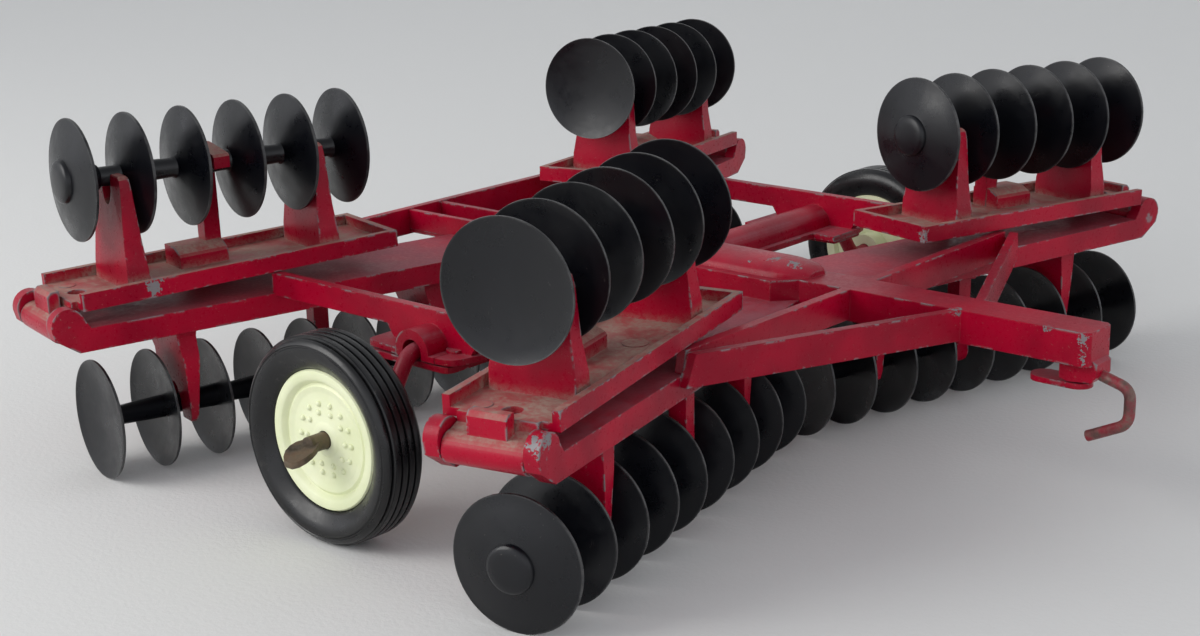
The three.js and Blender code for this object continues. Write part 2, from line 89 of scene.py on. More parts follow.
# end on, an outline is (y, z) and pushed along x; side on, it is (x, z) and pushed along y
endOn = Matrix(((0, 0, 1, 0), (1, 0, 0, 0), (0, 1, 0, 0), (0, 0, 0, 1)))
sideOn = Matrix(((1, 0, 0, 0), (0, 0, -1, 0), (0, 1, 0, 0), (0, 0, 0, 1)))


def planSlab(outline, low, high, edge=0.3):
    return extruded(outline, low, high, Matrix.Identity(4), edge)


def endSlab(outline, low, high, edge=0.3):
    return extruded(outline, low, high, endOn, edge)


def sideSlab(outline, low, high, edge=0.3):
    return extruded(outline, -high, -low, sideOn, edge)


def box(x0, x1, y0, y1, z0, z1, edge=0.3):
    return planSlab([(x0, y0), (x1, y0), (x1, y1), (x0, y1)], z0, z1, edge)


def arc(cx, cy, radius, start, end, count):
    angles = [math.radians(start + (end - start) * i / count) for i in range(count + 1)]
    return [(cx + radius * math.cos(a), cy + radius * math.sin(a)) for a in angles]


def bothSides(outline):
    # an outline's right half and its mirror image
    return outline + [(x, -y) for x, y in outline[::-1]]


def circle(cx, cy, radius, count=32):
    return arc(cx, cy, radius, 0, 360, count)[:-1]


def lathed(profile, sides, closed=False):
    # profile of (radius, along) turned about the y axis
    bm = bmesh.new()
    loops = []
    for radius, along in profile:
        if radius < 1e-6:
            loops.append([bm.verts.new((0, along, 0))])
        else:
            turn = [2 * math.pi * i / sides for i in range(sides)]
            loops.append([bm.verts.new((radius * math.sin(a), along, radius * math.cos(a))) for a in turn])
    pairs = list(zip(loops, loops[1:]))
    if closed:
        pairs.append((loops[-1], loops[0]))
    for one, two in pairs:
        for i in range(sides):
            j = (i + 1) % sides
            corners = [one[i % len(one)], one[j % len(one)], two[j % len(two)], two[i % len(two)]]
            face = []
            for v in corners:
                if v not in face:
                    face.append(v)
            if len(face) > 2:
                bm.faces.new(face)
    bmesh.ops.recalc_face_normals(bm, faces=bm.faces)
    return meshFrom(bm, "turned")


def roundTube(points, radius, sides=16):
    # round wire along a smooth run of points
    path = [Vector(p) for p in points]
    bm = bmesh.new()
    side = Vector((0, 0, 1))
    loops = []
    for i, point in enumerate(path):
        ahead = path[min(i + 1, len(path) - 1)] - path[max(i - 1, 0)]
        ahead.normalize()
        side = side - ahead * side.dot(ahead)
        if side.length < 1e-4:
            side = Vector((1, 0, 0)) - ahead * ahead.x
        side.normalize()
        other = ahead.cross(side)
        turn = [2 * math.pi * k / sides for k in range(sides)]
        spokes = [math.cos(a) * side + math.sin(a) * other for a in turn]
        loops.append([bm.verts.new(point + radius * spoke) for spoke in spokes])
    for one, two in zip(loops, loops[1:]):
        for i in range(sides):
            j = (i + 1) % sides
            bm.faces.new((one[i], one[j], two[j], two[i]))
    bm.faces.new(loops[0][::-1])
    bm.faces.new(loops[-1])
    bmesh.ops.recalc_face_normals(bm, faces=bm.faces)
    return meshFrom(bm, "wire")


def bentPath(corners, bend, steps=8):
    # straight runs with a rounded bend at each inner corner
    corners = [Vector(c) for c in corners]
    path = [corners[0]]
    for before, here, after in zip(corners, corners[1:], corners[2:]):
        back = (before - here).normalized() * bend
        forth = (after - here).normalized() * bend
        for i in range(steps + 1):
            t = i / steps
            path.append(here + back * (1 - t) ** 2 + forth * t ** 2)
    path.append(corners[-1])
    return path


def moved(mesh, matrix):
    mesh = mesh.copy()
    mesh.transform(matrix)
    if matrix.determinant() < 0:
        mesh.flip_normals()
    return mesh


def evaluated(obj, name):
    graph = bpy.context.evaluated_depsgraph_get()
    graph.update()
    made = bpy.data.meshes.new_from_object(obj.evaluated_get(graph))
    made.name = name
    return made


def combined(base, steps, name):
    # the base mesh after each step, an operation and the solid that does it
    obj = bpy.data.objects.new(name, base)
    made = [obj]
    for operation, mesh in steps:
        tool = bpy.data.objects.new("tool", mesh)
        made.append(tool)
        step = obj.modifiers.new("step", "BOOLEAN")
        step.operation = operation
        step.solver = "MANIFOLD"
        step.object = tool
    for item in made:
        bpy.context.scene.collection.objects.link(item)
    result = evaluated(obj, name)
    for item in made:
        bpy.data.objects.remove(item)
    return result


def united(meshes, cuts=()):
    # one closed body from overlapping solids, less the cutting solids
    steps = [("UNION", mesh) for mesh in meshes[1:]] + [("DIFFERENCE", mesh) for mesh in cuts]
    return combined(meshes[0], steps, "united")


def merged(meshes, name="merged"):
    bm = bmesh.new()
    for mesh in meshes:
        bm.from_mesh(mesh)
    return meshFrom(bm, name)


def finished(name, mesh, material, body, replaces=(), smooth=35):
    # metres, machine's place, shading, dust mask, then onto its body
    mesh.transform(Matrix.Translation((-middleX * mm, 0, 0)) @ Matrix.Scale(mm, 4))
    mesh.name = name
    mesh.materials.clear()
    mesh.materials.append(material)
    for face in mesh.polygons:
        face.use_smooth = True
        face.material_index = 0
    mesh.set_sharp_from_angle(angle=math.radians(smooth))
    facing = mesh.attributes.new("upFace", "FLOAT", "FACE")
    facing.data.foreach_set("value", [max(0.0, f.normal.z) for f in mesh.polygons])
    obj = bpy.data.objects.new(name, mesh)
    bpy.context.scene.collection.objects.link(obj)
    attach(obj, body)
    if replaces:
        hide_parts(*replaces)
    return obj


class Nodes:
    # short way to add and wire shader nodes
    def __init__(self, name):
        self.material = bpy.data.materials.new(name)
        self.material.use_nodes = True
        self.tree = self.material.node_tree
        self.tree.nodes.clear()
        self.shader = self.add("ShaderNodeBsdfPrincipled")
        self.out = self.add("ShaderNodeOutputMaterial")
        self.wire(self.shader, "BSDF", self.out, "Surface")
        place = self.add("ShaderNodeTexCoord")
        self.map = self.add("ShaderNodeMapping")
        self.wire(place, "Object", self.map, "Vector")

    def add(self, kind, **values):
        node = self.tree.nodes.new(kind)
        for key, value in values.items():
            setattr(node, key, value)
        return node

    def wire(self, source, output, target, targetInput):
        self.tree.links.new(source.outputs[output], target.inputs[targetInput])

    def noise(self, scale, detail=4, rough=0.6, stretch=None):
        node = self.add("ShaderNodeTexNoise")
        node.inputs["Scale"].default_value = scale
        node.inputs["Detail"].default_value = detail
        node.inputs["Roughness"].default_value = rough
        source = self.map
        if stretch:
            source = self.add("ShaderNodeMapping")
            source.inputs["Scale"].default_value = stretch
            source.inputs["Rotation"].default_value = (0.5, 0.3, 0.9)
            self.wire(self.map, "Vector", source, "Vector")
        self.wire(source, "Vector", node, "Vector")
        return node

    def between(self, source, output, low, high, toLow=0.0, toHigh=1.0):
        node = self.add("ShaderNodeMapRange", interpolation_type="SMOOTHSTEP")
        node.inputs["From Min"].default_value = low
        node.inputs["From Max"].default_value = high
        node.inputs["To Min"].default_value = toLow
        node.inputs["To Max"].default_value = toHigh
        self.wire(source, output, node, "Value")
        return node

    def math(self, operation, a, b):
        node = self.add("ShaderNodeMath", operation=operation, use_clamp=True)
        for i, item in enumerate((a, b)):
            if isinstance(item, (int, float)):
                node.inputs[i].default_value = item
            else:
                name = next((key for key in ("Result", "Fac", "Value") if key in item.outputs), 0)
                self.tree.links.new(item.outputs[name], node.inputs[i])
        return node

    def mix(self, factor, low, high):
        # low and high are colours or nodes
        node = self.add("ShaderNodeMix", data_type="RGBA")
        self.tree.links.new(factor.outputs[0], node.inputs[0])
        for slot, item in ((6, low), (7, high)):
            if isinstance(item, tuple):
                node.inputs[slot].default_value = (*item, 1)
            else:
                self.tree.links.new(item.outputs[2], node.inputs[slot])
        return node

    def nearness(self, places, core, ragged=0.0):
        # one close to any of the given places, falling to zero at their reach
        source = self.map
        if ragged:
            wander = self.add("ShaderNodeVectorMath", operation="MULTIPLY_ADD")
            self.wire(self.noise(520, 3, 0.8), "Color", wander, 0)
            wander.inputs[1].default_value = (ragged * mm,) * 3
            self.wire(self.map, "Vector", wander, 2)
            centred = self.add("ShaderNodeVectorMath", operation="SUBTRACT")
            self.wire(wander, "Vector", centred, 0)
            centred.inputs[1].default_value = (ragged * mm / 2,) * 3
            source = centred
        total = None
        for x, y, z, reach in places:
            gap = self.add("ShaderNodeVectorMath", operation="DISTANCE")
            gap.inputs[1].default_value = ((x - middleX) * mm, y * mm, z * mm)
            self.wire(source, "Vector", gap, 0)
            one = self.between(gap, "Value", reach * core * mm, reach * mm, 1.0, 0.0)
            total = one if total is None else self.math("MAXIMUM", total, one)
        return total

    def bump(self, height, output, strength, distance, onto=None):
        node = self.add("ShaderNodeBump")
        node.inputs["Strength"].default_value = strength
        node.inputs["Distance"].default_value = distance
        self.wire(height, output, node, "Height")
        if onto:
            self.tree.links.new(onto.outputs[0], node.inputs["Normal"])
        return node


def linear(*channels):
    # a colour from its 0 to 255 values
    return tuple(v / 255 / 12.92 if v <= 10 else ((v / 255 + 0.055) / 1.055) ** 2.4 for v in channels)


paintLook = dict(red=linear(168, 0, 40), deep=linear(136, 0, 32), dust=linear(150, 106, 114),
                 pale=linear(162, 142, 128), metal=linear(136, 132, 134), chipReach=0.0009, dustAmount=0.1,
                 settleBelow=41.9, settleFade=0.6, settled=0.55, rough=0.31)


def makePaint(name, look, dustMax, dustTone, corners=False):
    n = Nodes(name)
    broad = n.noise(38, 3)
    fine = n.noise(900, 5, 0.7)
    grain = n.noise(2600, 3, 0.7)
    base = n.mix(n.between(broad, "Fac", 0.35, 0.65), look["deep"], look["red"])
    # dust that lies on upward faces, thin and patchy
    up = n.add("ShaderNodeAttribute", attribute_name="upFace")
    upMask = n.between(up, "Fac", 0.35, 0.95)
    patch = n.between(n.noise(120, 6, 0.75), "Fac", 0.36, 0.6, 0.4, 1.0)
    speck = n.between(fine, "Fac", 0.38, 0.6, 0.6, 1.0)
    spot = n.add("ShaderNodeSeparateXYZ")
    n.wire(n.map, "Vector", spot, 0)
    # it has settled thicker on the low plates
    bottom, fade = look["settleBelow"] * mm, look["settleFade"] * mm
    settled = n.between(spot, "Z", bottom, bottom + fade, max(dustMax, look["settled"]), dustMax)
    dust = n.math("MULTIPLY", n.math("MULTIPLY", upMask, patch), n.math("MULTIPLY", speck, settled))
    if corners:
        hollow = n.add("ShaderNodeAmbientOcclusion", only_local=True, samples=6)
        hollow.inputs["Distance"].default_value = 0.005
        crept = n.math("MULTIPLY", n.between(hollow, "AO", 0.3, 0.72, 0.85, 0.0),
                       n.between(fine, "Fac", 0.4, 0.56, 0.3, 1.0))
        dust = n.math("MAXIMUM", dust, crept)
    grit = n.math("MULTIPLY", n.between(n.noise(1900, 2, 0.9), "Fac", 0.66, 0.74), 0.5)
    dusty = n.mix(grit, n.mix(dust, base, look[dustTone]), look["pale"])
    # paint knocked off along outer edges down to grey metal
    worn = n.nearness(wornCorners(), 0.55)
    edge = n.add("ShaderNodeAmbientOcclusion", inside=True, only_local=True, samples=8)
    edge.inputs["Distance"].default_value = look["chipReach"]
    near = n.between(edge, "AO", 0.5, 0.84, 1.0, 0.0)
    rough = n.noise(230, 8, 0.72)
    knock = n.between(n.math("ADD", rough, n.math("MULTIPLY", worn, 0.07)), 0, 0.53, 0.56)
    bare = n.nearness(bareChips(), 0.5, ragged=9)
    chip = n.math("MAXIMUM", n.math("MULTIPLY", near, knock), n.between(bare, 0, 0.3, 0.45))
    coat = n.mix(chip, dusty, look["metal"])
    n.wire(coat, 2, n.shader, "Base Color")
    n.wire(n.math("MULTIPLY", chip, 0.45), 0, n.shader, "Metallic")
    gloss = n.between(fine, "Fac", 0.3, 0.7, look["rough"] - 0.06, look["rough"] + 0.08)
    dull = n.math("ADD", n.math("MULTIPLY", dust, 0.5), gloss)
    n.wire(n.math("ADD", dull, n.math("MULTIPLY", chip, 0.25)), 0, n.shader, "Roughness")
    n.shader.inputs["Specular IOR Level"].default_value = 0.22
    rounded = n.add("ShaderNodeBevel", samples=4)
    rounded.inputs["Radius"].default_value = 0.00035
    lumps = n.bump(n.noise(420, 4), "Fac", 0.2, 0.0002, rounded)
    grains = n.bump(grain, "Fac", 0.2, 0.00008, lumps)
    chips = n.bump(n.math("SUBTRACT", 1.0, chip), 0, 0.6, 0.0001, grains)
    n.wire(chips, 0, n.shader, "Normal")
    return n.material


plasticLook = dict(black=linear(8, 9, 14), worn=linear(66, 66, 66), dust=linear(132, 126, 120), rough=0.31)


def makeDiscPlastic(look):
    n = Nodes("discPlastic")
    broad = n.noise(60, 4)
    lighter = tuple(v * 1.35 for v in look["black"])
    base = n.mix(n.between(broad, "Fac", 0.3, 0.7), look["black"], lighter)
    rim = n.add("ShaderNodeAttribute", attribute_name="discRim")
    rimMask = n.math("MULTIPLY", n.between(rim, "Fac", 0.7, 1.0),
                     n.between(n.noise(180, 5, 0.7), "Fac", 0.35, 0.65, 0.1, 1.0))
    worn = n.mix(rimMask, base, look["worn"])
    lint = n.between(n.noise(900, 3, 0.8), "Fac", 0.70, 0.78, 0.0, 0.5)
    specked = n.mix(lint, worn, look["dust"])
    scratch = n.between(n.noise(60, 6, 0.8, stretch=(1, 14, 1)), "Fac", 0.66, 0.72, 0.0, 0.22)
    lined = n.mix(scratch, specked, look["dust"])
    n.wire(lined, 2, n.shader, "Base Color")
    rough = n.between(n.noise(130, 6, 0.7), "Fac", 0.3, 0.7, look["rough"] - 0.07, look["rough"] + 0.1)
    n.wire(rough, "Result", n.shader, "Roughness")
    n.shader.inputs["Specular IOR Level"].default_value = 0.4
    fine = n.bump(n.noise(2200, 3, 0.6), "Fac", 0.12, 0.00006)
    wavy = n.bump(n.noise(90, 3), "Fac", 0.25, 0.0002, fine)
    n.wire(wavy, 0, n.shader, "Normal")
    return n.material


def makeTyreRubber(look):
    n = Nodes("tyreRubber")
    base = n.mix(n.between(n.noise(70, 5, 0.7), "Fac", 0.35, 0.65), look["black"], look["grey"])
    dust = n.between(n.noise(420, 6, 0.75), "Fac", 0.6, 0.74, 0.0, 0.3)
    dusty = n.mix(dust, base, look["dust"])
    n.wire(dusty, 2, n.shader, "Base Color")
    rough = n.between(n.noise(240, 5, 0.7), "Fac", 0.3, 0.7, 0.24, 0.4)
    n.wire(rough, "Result", n.shader, "Roughness")
    n.shader.inputs["Specular IOR Level"].default_value = 0.45
    fine = n.bump(n.noise(1500, 4, 0.6), "Fac", 0.2, 0.00008)
    n.wire(fine, 0, n.shader, "Normal")
    return n.material


def makeRimPlastic(look):
    n = Nodes("rimPlastic")
    base = n.mix(n.between(n.noise(90, 4), "Fac", 0.3, 0.7), look["cream"], look["pale"])
    # painted shade with some grime: the cream is darkened in hollows and round the studs, where the ambient
    # occlusion node finds nearby surfaces; the specks below are real grime
    hollow = n.add("ShaderNodeAmbientOcclusion", only_local=True, samples=8)
    hollow.inputs["Distance"].default_value = 0.0016
    grimeAndShade = n.math("MULTIPLY", n.between(hollow, "AO", 0.35, 0.95, 1.0, 0.0),
                   n.between(n.noise(300, 6, 0.7), "Fac", 0.3, 0.7, 0.35, 1.0))
    shadedAndGrimy = n.mix(n.math("MULTIPLY", grimeAndShade, 0.22), base, look["grimeAndShade"])
    speck = n.between(n.noise(700, 4, 0.8), "Fac", 0.68, 0.76, 0.0, 0.45)
    specked = n.mix(speck, shadedAndGrimy, look["grimeAndShade"])
    n.wire(specked, 2, n.shader, "Base Color")
    rough = n.between(n.noise(260, 4), "Fac", 0.3, 0.7, 0.34, 0.5)
    n.wire(rough, "Result", n.shader, "Roughness")
    n.shader.inputs["Subsurface Weight"].default_value = 0.08
    n.shader.inputs["Subsurface Radius"].default_value = (0.001, 0.0009, 0.0006)
    n.shader.inputs["Subsurface Scale"].default_value = 0.5
    soft = n.bump(n.noise(500, 3), "Fac", 0.15, 0.0001)
    n.wire(soft, 0, n.shader, "Normal")
    return n.material


def makeRustySteel(name, look):
    n = Nodes(name)
    rust = n.between(n.noise(330, 7, 0.75), "Fac", 0.38, 0.6)
    base = n.mix(rust, look["steel"], look["rust"])
    dark = n.mix(n.between(n.noise(120, 5), "Fac", 0.45, 0.7), base, look["dark"])
    n.wire(dark, 2, n.shader, "Base Color")
    n.wire(n.math("SUBTRACT", 0.75, rust), 0, n.shader, "Metallic")
    rough = n.between(n.noise(600, 5), "Fac", 0.3, 0.7, 0.38, 0.62)
    n.wire(rough, "Result", n.shader, "Roughness")
    pitted = n.bump(n.noise(1200, 5, 0.7), "Fac", 0.35, 0.0001)
    n.wire(pitted, 0, n.shader, "Normal")
    return n.material


# cast parts that carry a gang shaft

hangerSize = dict(wide=10, tipWide=8.4, slotHalf=2.6, slotDeep=5.5)
mainFoot, wingFoot, wingOuterFoot = (3, 3, 0.85), (3, 3, 1.2), (3.3, 2.8, 1.25)


def hanger(along, base, way, shaft, shaftY, tall, foot):
    s = hangerSize
    up = lambda v: base + way * v
    inner, outer, tip = foot
    thick = [(-inner - 0.1, -1.2), (-inner - 0.02, 0.2), (-tip, tall - 0.4), (-tip + 0.3, tall),
             (tip - 0.3, tall), (tip, tall - 0.4), (outer + 0.02, 0.2), (outer + 0.1, -1.2)]
    w, t, low = s["wide"], s["tipWide"], shaft - s["slotDeep"]
    slot = [(shaftY + x, up(z)) for x, z in
            [(s["slotHalf"] + 0.1, tall + 2), (s["slotHalf"], low + 3)]
            + [(x * 0.8, z + low + 2.2) for x, z in arc(0, 0, s["slotHalf"], -20, -160, 10)]
            + [(-s["slotHalf"], low + 3), (-s["slotHalf"] - 0.1, tall + 2)]]
    wide = [(-w, -1.2), (-w, 4.6), (-w + 0.25, 6), (shaftY - t - 0.5, 11.5), (shaftY - t, tall - 3),
            (shaftY - t + 0.5, tall - 0.8), (shaftY - t + 1.6, tall), (shaftY + t - 1.6, tall),
            (shaftY + t - 0.5, tall - 0.8), (shaftY + t, tall - 3), (shaftY + t + 0.5, 11.5),
            (w - 0.25, 6), (w, 4.6), (w, -1.2)]
    plate = sideSlab([(along + x, up(z)) for x, z in thick], -14, 14, 0.22)
    face = endSlab([(y, up(z)) for y, z in wide], along - 8, along + 8, 0)
    notch = endSlab(slot, along - 8, along + 8, 0)
    return combined(plate, [("INTERSECT", face), ("DIFFERENCE", notch)], "hanger")


def shaftHook(along, base, way, shaft, shaftY, side):
    up = lambda v: base + way * v
    s = shaft
    profile = [(8.4, -1.2), (8.3, s + 1.6), (7.5, s + 3.4), (6.2, s + 4.3), (5.2, s + 4.3), (-5.0, s + 2.95),
               (-5.6, s + 2.3), (-5.6, s - 0.6), (-3.4, s - 0.6), (-3.3, s + 1.1)] \
        + [(x, z + s) for x, z in arc(0.1, 0, 3.2, 140, 30, 6)] + [(3.9, s - 2), (4.2, -1.2)]
    return endSlab([(shaftY + side * q, up(z)) for q, z in profile], along - 2.15, along + 2.15, 0.3)


def beamHookFoot(along, base, shaftY, side):
    foot = [(-4.2, -1.2), (-4.2, 3.6), (-3.2, 4.6), (2.6, 5.4), (3.8, 4.6), (4.2, -1.2)]
    near, far = sorted((shaftY + side * 3.2, shaftY + side * 9.4))
    return sideSlab([(along + x, base - z) for x, z in foot], near, far, 0.4)


def wingHookFoot(along, base, side):
    foot = [(0, -1.2), (0, 2.9), (0.5, 3.6), (3.4, 5.0), (9, 5.0), (9, -1.2)]
    return endSlab([(side * q, base + z) for q, z in foot], along - 1.9, along + 11.3, 0.35)


# main beams, along their row from its apex

beamSize = dict(half=13, wall=1.8, low=39.5, high=41.3, flange=35.6, end=128.5, inner=6.7, hinge=41,
                earInner=9.5, pinRoom=1.65, slope=13, shaftDrop=15)


def gangPlace(row, hand):
    turn = math.radians(hand * row["turn"])
    return Matrix.Translation((row["apex"], 0, 0)) @ Matrix.Rotation(turn, 4, "Z")


def beamParts(row, hand):
    s = beamSize
    side = hand * -row["sweep"]
    slope = math.radians(s["slope"])
    start = lambda y: (s["inner"] - 1.2) / math.cos(slope) + side * math.tan(slope) * y
    h, end = s["half"], row["hinge"]
    plate = [(start(-h), -h), (s["end"], -h), (s["end"], h), (start(h), h)]
    parts = [planSlab(plate, s["low"], s["high"], 0.25)]
    holes = []
    ear = [(end - 7.5, s["flange"]), (end - 2.5, s["flange"]), (end + 3.2, s["low"])] \
        + arc(end - 0.3, s["hinge"] + 1.6, 4.2, -8, 168, 12) \
        + [(end - 6, s["high"] - 0.2), (end - 7.5, s["high"] - 0.2)]
    for edge in (-1, 1):
        y0, y1 = sorted((edge * (h - s["wall"]), edge * h))
        first = max(start(y0), start(y1))
        parts.append(box(first, end - 5, y0, y1, s["flange"], s["high"], 0.25))
        e0, e1 = sorted((edge * s["earInner"], edge * h))
        parts.append(sideSlab(ear, e0, e1, 0.5))
        h0, h1 = sorted((edge * (s["earInner"] - 0.6), edge * 12.3))
        holes.append(sideSlab(circle(end, s["hinge"], s["pinRoom"], 20), h0, h1, 0))
    down = s["low"] - s["shaftDrop"]
    shaftY = side * row["mainShift"]
    for along in (row["outerHanger"], row["innerHanger"]):
        parts.append(hanger(along, s["low"], -1, down, shaftY, down + 3.4, mainFoot))
    parts.append(shaftHook(row["hook"], s["low"], -1, down, shaftY, side))
    parts.append(beamHookFoot(row["hook"], s["low"], shaftY, side))
    place = gangPlace(row, hand)
    return [moved(p, place) for p in parts], [moved(c, place) for c in holes]


# frame casting

frameSize = dict(top=46.4, low=39, tongueHalf=5.5, tongueTip=132, boxHalf=10.7, boxRear=-25, nose=54,
                 shell=1.8, tongueWall=1.6, wallBack=-83, wallFace=-80.7, crossWall=(67, 69.5), sideBar=(77, 79.5),
                 braceRoot=98.5, braceLean=27 / 64, braceEnd=74, braceHalf=1.25, spineHalf=7, axleX=2,
                 archFoot=36.2, archBase=37.8, archOuter=5.5, archInner=3, archEnd=86, rivet=(9.6, 79.3, 2.2))
ridgeSize = dict(start=12, end=56.2, rise=8, fallFrom=44, fall=12.4, half=8.2, tall=3.3, sunk=1.4, rings=26,
                 sides=12)


def ridgeMesh(base):
    # a low rounded back that swells at its rear end and dies away toward the nose
    s = ridgeSize
    bm = bmesh.new()
    rows = []
    for i in range(s["rings"] + 1):
        x = s["start"] + (s["end"] - s["start"]) * i / s["rings"]
        rise = min(1, max(0, (x - s["start"]) / s["rise"])) ** 0.6
        fall = math.sqrt(max(0, 1 - max(0, (x - s["fallFrom"]) / s["fall"]) ** 2))
        wide = s["half"] * (0.86 + 0.14 * rise) * (0.28 + 0.72 * fall)
        tall = s["tall"] * rise * (0.25 + 0.75 * fall)
        turn = [math.pi * (1 - k / s["sides"]) for k in range(s["sides"] + 1)]
        over = [(wide * math.cos(t), tall * math.sin(t) ** 0.8) for t in turn[1:-1]]
        ring = [(-wide, -s["sunk"]), (-wide, 0)] + over + [(wide, 0), (wide, -s["sunk"])]
        rows.append([bm.verts.new((x, y, base + z)) for y, z in ring])
    for one, two in zip(rows, rows[1:]):
        for i in range(len(one)):
            j = (i + 1) % len(one)
            bm.faces.new((one[i], one[j], two[j], two[i]))
    bm.faces.new(rows[0])
    bm.faces.new(rows[-1][::-1])
    bmesh.ops.recalc_face_normals(bm, faces=bm.faces)
    return meshFrom(bm, "ridge")


def frameParts():
    s = frameSize
    top, low = s["top"], s["low"]
    parts, cuts = [], []
    # tongue with its heel
    half, tip, shell = s["tongueHalf"], s["tongueTip"], s["shell"]
    tongue = bothSides([(40, -half), (tip - 1.2, -half), (tip, -half + 1.2)])
    parts.append(planSlab(tongue, 38.5, top, 0.35))
    inside = half - s["tongueWall"]
    cuts.append(box(38, tip - 10, -inside, inside, 30, top - shell, 0.3))
    heel = [(tip - 8, 40), (tip - 8, 34.6), (tip - 6, 34), (tip, 34.6), (tip + 1, 36), (tip + 1, 39),
            (tip - 0.5, 40)]
    parts.append(sideSlab(heel, -3.5, 3.5, 0.6))
    # centre box and ridge
    b = s["boxHalf"]
    rear = s["boxRear"]
    plan = bothSides([(rear, -b), (49.7, -b), (s["nose"] + 0.6, -half)])
    parts.append(planSlab(plan, 41.0, top, 0.4))
    cuts.append(box(rear + shell, 48.8, -b + shell, b - shell, 30, top - shell, 0.3))
    parts.append(ridgeMesh(top))
    # rear spine and rear wall
    spine = s["spineHalf"]
    parts.append(box(s["wallFace"] - 1, rear + 1, -spine, spine, beamSize["low"], beamSize["high"], 0.2))
    for hand in (-1, 1):
        y0, y1 = sorted((hand * (spine - 1.5), hand * (spine + 0.3)))
        parts.append(box(s["wallFace"] - 1, rear + 1, y0, y1, 40.5, 46.1, 0.35))
    wall = [(88, low), (88, 43.6), (84, top)]
    parts.append(endSlab(wall + [(-y, z) for y, z in wall[::-1]], s["wallBack"], s["wallFace"], 0.35))
    # walls, braces and bars
    for hand in (-1, 1):
        run = [(half - 1, low), (70.0, low), (68.5, top), (half - 1, top)]
        parts.append(endSlab([(hand * y, z) for y, z in run], *s["crossWall"], 0.35))
        plan = []
        for y, way in ((half - 1, -1), (half - 1, 1), (s["braceEnd"], 1), (s["braceEnd"], -1)):
            plan.append((s["braceRoot"] - (y - half) * s["braceLean"] + way * s["braceHalf"], hand * y))
        plate = planSlab(plan, low, top, 0.3)
        beyond = [(69.0, top + 1), (71.7, low - 1), (90, low - 1), (90, top + 1)]
        trim = endSlab([(hand * y, z) for y, z in beyond], 50, 90, 0)
        parts.append(united([plate], [trim]))
        y0, y1 = sorted(hand * y for y in s["sideBar"])
        bar = [(-55, 40.8), (-55, 46.6), (46, 46.6), (46, 40.8), (17, 40.8), (14.5, 37), (-10.5, 37),
               (-13, 40.8)]
        parts.append(sideSlab(bar, y0, y1, 0.4))
    # arch that holds the axle wire, with its end pads
    axle, base, foot = s["axleX"], s["archBase"], s["archFoot"]
    section = arc(axle, base, s["archOuter"], 180, 0, 20) \
        + [(9.3, base), (9.3, foot), (axle + s["archInner"], foot)] \
        + arc(axle, base, s["archInner"], 0, 180, 14) \
        + [(axle - s["archInner"], foot), (axle - s["archOuter"], foot)]
    parts.append(sideSlab(section, -s["archEnd"], s["archEnd"], 0.35))
    for hand in (-1, 1):
        plan = [(-15, 66), (-15, 82.4), (-14.6, 83.8), (-13.4, 84.7), (-4.6, 85.4), (7.8, 85.9), (12.6, 85.5),
                (14.2, 84.6), (15.1, 83.0), (16.4, 78.4), (16.4, 66)]
        parts.append(planSlab([(x, hand * y) for x, y in plan], foot, 37.7, 0.35))
        x, y, radius = s["rivet"]
        parts.append(planSlab(circle(x, hand * y, radius, 28), 37.4, 38.4, 0.45))
        y0, y1 = sorted((hand * 64, hand * 90))
        cuts.append(box(axle - s["archInner"], axle + s["archInner"], y0, y1, 34, base, 0))
        y0, y1 = sorted((hand * 60, hand * 90))
        cuts.append(sideSlab(circle(axle, base, s["archInner"], 28), y0, y1, 0))
    return parts, cuts


def castFrame():
    parts, cuts = frameParts()
    for row in rowSizes.values():
        for hand in (-1, 1):
            more, holes = beamParts(row, hand)
            parts += more
            cuts += holes
    nodes = ["tongue", "centre_box", "rear_spine", "rear_cross_wall", "axle_saddle"]
    for word in ("right", "left"):
        nodes += [f"front_cross_wall_{word}", f"front_brace_{word}", f"side_bar_{word}",
                  f"front_beam_{word}", f"rear_beam_{word}"]
    return finished("frameCasting", united(parts, cuts), redPaint, "frame", nodes)


# folded wings, along from the hinge

wingSize = dict(half=13.3, low=4.4, wall=1.8, high=8.7, inner=-90.5, outer=-4.4, barrel=3.4, barrelHalf=9.2,
                pin=1.4, innerHanger=60.6, hook=86.2, hookShaft=31.8, holeIn=3.2, holeAhead=0.9)


